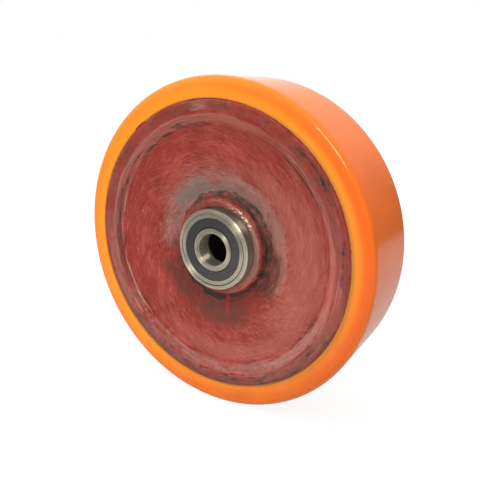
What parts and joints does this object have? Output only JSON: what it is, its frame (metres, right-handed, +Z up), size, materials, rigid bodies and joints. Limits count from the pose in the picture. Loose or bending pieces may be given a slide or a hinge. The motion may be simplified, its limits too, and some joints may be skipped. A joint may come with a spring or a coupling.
{
  "type": "polyurethane wheel",
  "caption": "Solid wheel with a polyurethane tread bonded to a dished, brush-painted cast centre that turns on sealed ball bearings pressed into its hub.",
  "frame": {"origin": "the wheel's centre, on its axle line and midway between the tyre's two sides", "axes": "+Y along the axle, out of the wheel's rear side, with the pictured side facing -Y; +Z is up"},
  "size_m": [0.25, 0.07, 0.25],
  "materials": {
    "polyurethane": "gloss",
    "red_paint": "satin",
    "bearing_steel": "satin",
    "seal_rubber": "matte",
    "cage_steel": "satin",
    "ball_steel": "polished",
    "dark_steel": "matte"
  },
  "bodies": {
    "axle_side": {"inner_ring_front": "bearing_steel", "inner_ring_rear": "bearing_steel", "bearing_spacer": "dark_steel"},
    "wheel": {"tyre": "polyurethane", "wheel_centre": "red_paint", "outer_ring_front": "bearing_steel", "seal_outboard_front": "seal_rubber", "seal_inboard_front": "seal_rubber", "outer_ring_rear": "bearing_steel", "seal_outboard_rear": "seal_rubber", "seal_inboard_rear": "seal_rubber"},
    "ball_cage_front": {"cage_outboard_front": "cage_steel", "cage_inboard_front": "cage_steel", "cage_rivets_front": "cage_steel"},
    "ball_front_1": {"ball_front_1": "ball_steel"},
    "ball_front_2": {"ball_front_2": "ball_steel"},
    "ball_front_3": {"ball_front_3": "ball_steel"},
    "ball_front_4": {"ball_front_4": "ball_steel"},
    "ball_front_5": {"ball_front_5": "ball_steel"},
    "ball_front_6": {"ball_front_6": "ball_steel"},
    "ball_front_7": {"ball_front_7": "ball_steel"},
    "ball_cage_rear": {"cage_outboard_rear": "cage_steel", "cage_inboard_rear": "cage_steel", "cage_rivets_rear": "cage_steel"},
    "ball_rear_1": {"ball_rear_1": "ball_steel"},
    "ball_rear_2": {"ball_rear_2": "ball_steel"},
    "ball_rear_3": {"ball_rear_3": "ball_steel"},
    "ball_rear_4": {"ball_rear_4": "ball_steel"},
    "ball_rear_5": {"ball_rear_5": "ball_steel"},
    "ball_rear_6": {"ball_rear_6": "ball_steel"},
    "ball_rear_7": {"ball_rear_7": "ball_steel"}
  },
  "joints": [
    {"name": "wheel_spin", "type": "hinge", "parent": "axle_side", "child": "wheel", "pos_m": [0, 0, 0], "axis": [0, 1, 0], "continuous": true},
    {"name": "cage_turn_front", "type": "hinge", "parent": "axle_side", "child": "ball_cage_front", "pos_m": [0, -0.024, 0], "axis": [0, 1, 0], "continuous": true},
    {"name": "ball_roll_front_1", "type": "hinge", "parent": "ball_cage_front", "child": "ball_front_1", "pos_m": [0.02175, -0.024, 0], "axis": [0, 1, 0], "continuous": true},
    {"name": "ball_roll_front_2", "type": "hinge", "parent": "ball_cage_front", "child": "ball_front_2", "pos_m": [0.01356, -0.024, 0.017], "axis": [0, 1, 0], "continuous": true},
    {"name": "ball_roll_front_3", "type": "hinge", "parent": "ball_cage_front", "child": "ball_front_3", "pos_m": [-0.00484, -0.024, 0.0212], "axis": [0, 1, 0], "continuous": true},
    {"name": "ball_roll_front_4", "type": "hinge", "parent": "ball_cage_front", "child": "ball_front_4", "pos_m": [-0.0196, -0.024, 0.00944], "axis": [0, 1, 0], "continuous": true},
    {"name": "ball_roll_front_5", "type": "hinge", "parent": "ball_cage_front", "child": "ball_front_5", "pos_m": [-0.0196, -0.024, -0.00944], "axis": [0, 1, 0], "continuous": true},
    {"name": "ball_roll_front_6", "type": "hinge", "parent": "ball_cage_front", "child": "ball_front_6", "pos_m": [-0.00484, -0.024, -0.0212], "axis": [0, 1, 0], "continuous": true},
    {"name": "ball_roll_front_7", "type": "hinge", "parent": "ball_cage_front", "child": "ball_front_7", "pos_m": [0.01356, -0.024, -0.017], "axis": [0, 1, 0], "continuous": true},
    {"name": "cage_turn_rear", "type": "hinge", "parent": "axle_side", "child": "ball_cage_rear", "pos_m": [0, 0.024, 0], "axis": [0, 1, 0], "continuous": true},
    {"name": "ball_roll_rear_1", "type": "hinge", "parent": "ball_cage_rear", "child": "ball_rear_1", "pos_m": [0.02175, 0.024, 0], "axis": [0, 1, 0], "continuous": true},
    {"name": "ball_roll_rear_2", "type": "hinge", "parent": "ball_cage_rear", "child": "ball_rear_2", "pos_m": [0.01356, 0.024, 0.017], "axis": [0, 1, 0], "continuous": true},
    {"name": "ball_roll_rear_3", "type": "hinge", "parent": "ball_cage_rear", "child": "ball_rear_3", "pos_m": [-0.00484, 0.024, 0.0212], "axis": [0, 1, 0], "continuous": true},
    {"name": "ball_roll_rear_4", "type": "hinge", "parent": "ball_cage_rear", "child": "ball_rear_4", "pos_m": [-0.0196, 0.024, 0.00944], "axis": [0, 1, 0], "continuous": true},
    {"name": "ball_roll_rear_5", "type": "hinge", "parent": "ball_cage_rear", "child": "ball_rear_5", "pos_m": [-0.0196, 0.024, -0.00944], "axis": [0, 1, 0], "continuous": true},
    {"name": "ball_roll_rear_6", "type": "hinge", "parent": "ball_cage_rear", "child": "ball_rear_6", "pos_m": [-0.00484, 0.024, -0.0212], "axis": [0, 1, 0], "continuous": true},
    {"name": "ball_roll_rear_7", "type": "hinge", "parent": "ball_cage_rear", "child": "ball_rear_7", "pos_m": [0.01356, 0.024, -0.017], "axis": [0, 1, 0], "continuous": true}
  ],
  "couplings": [
    {"joint": "cage_turn_front", "follows": "wheel_spin", "ratio": 0.63218},
    {"joint": "ball_roll_front_1", "follows": "wheel_spin", "ratio": 1.7591},
    {"joint": "ball_roll_front_2", "follows": "wheel_spin", "ratio": 1.7591},
    {"joint": "ball_roll_front_3", "follows": "wheel_spin", "ratio": 1.7591},
    {"joint": "ball_roll_front_4", "follows": "wheel_spin", "ratio": 1.7591},
    {"joint": "ball_roll_front_5", "follows": "wheel_spin", "ratio": 1.7591},
    {"joint": "ball_roll_front_6", "follows": "wheel_spin", "ratio": 1.7591},
    {"joint": "ball_roll_front_7", "follows": "wheel_spin", "ratio": 1.7591},
    {"joint": "cage_turn_rear", "follows": "wheel_spin", "ratio": 0.63218},
    {"joint": "ball_roll_rear_1", "follows": "wheel_spin", "ratio": 1.7591},
    {"joint": "ball_roll_rear_2", "follows": "wheel_spin", "ratio": 1.7591},
    {"joint": "ball_roll_rear_3", "follows": "wheel_spin", "ratio": 1.7591},
    {"joint": "ball_roll_rear_4", "follows": "wheel_spin", "ratio": 1.7591},
    {"joint": "ball_roll_rear_5", "follows": "wheel_spin", "ratio": 1.7591},
    {"joint": "ball_roll_rear_6", "follows": "wheel_spin", "ratio": 1.7591},
    {"joint": "ball_roll_rear_7", "follows": "wheel_spin", "ratio": 1.7591}
  ]
}
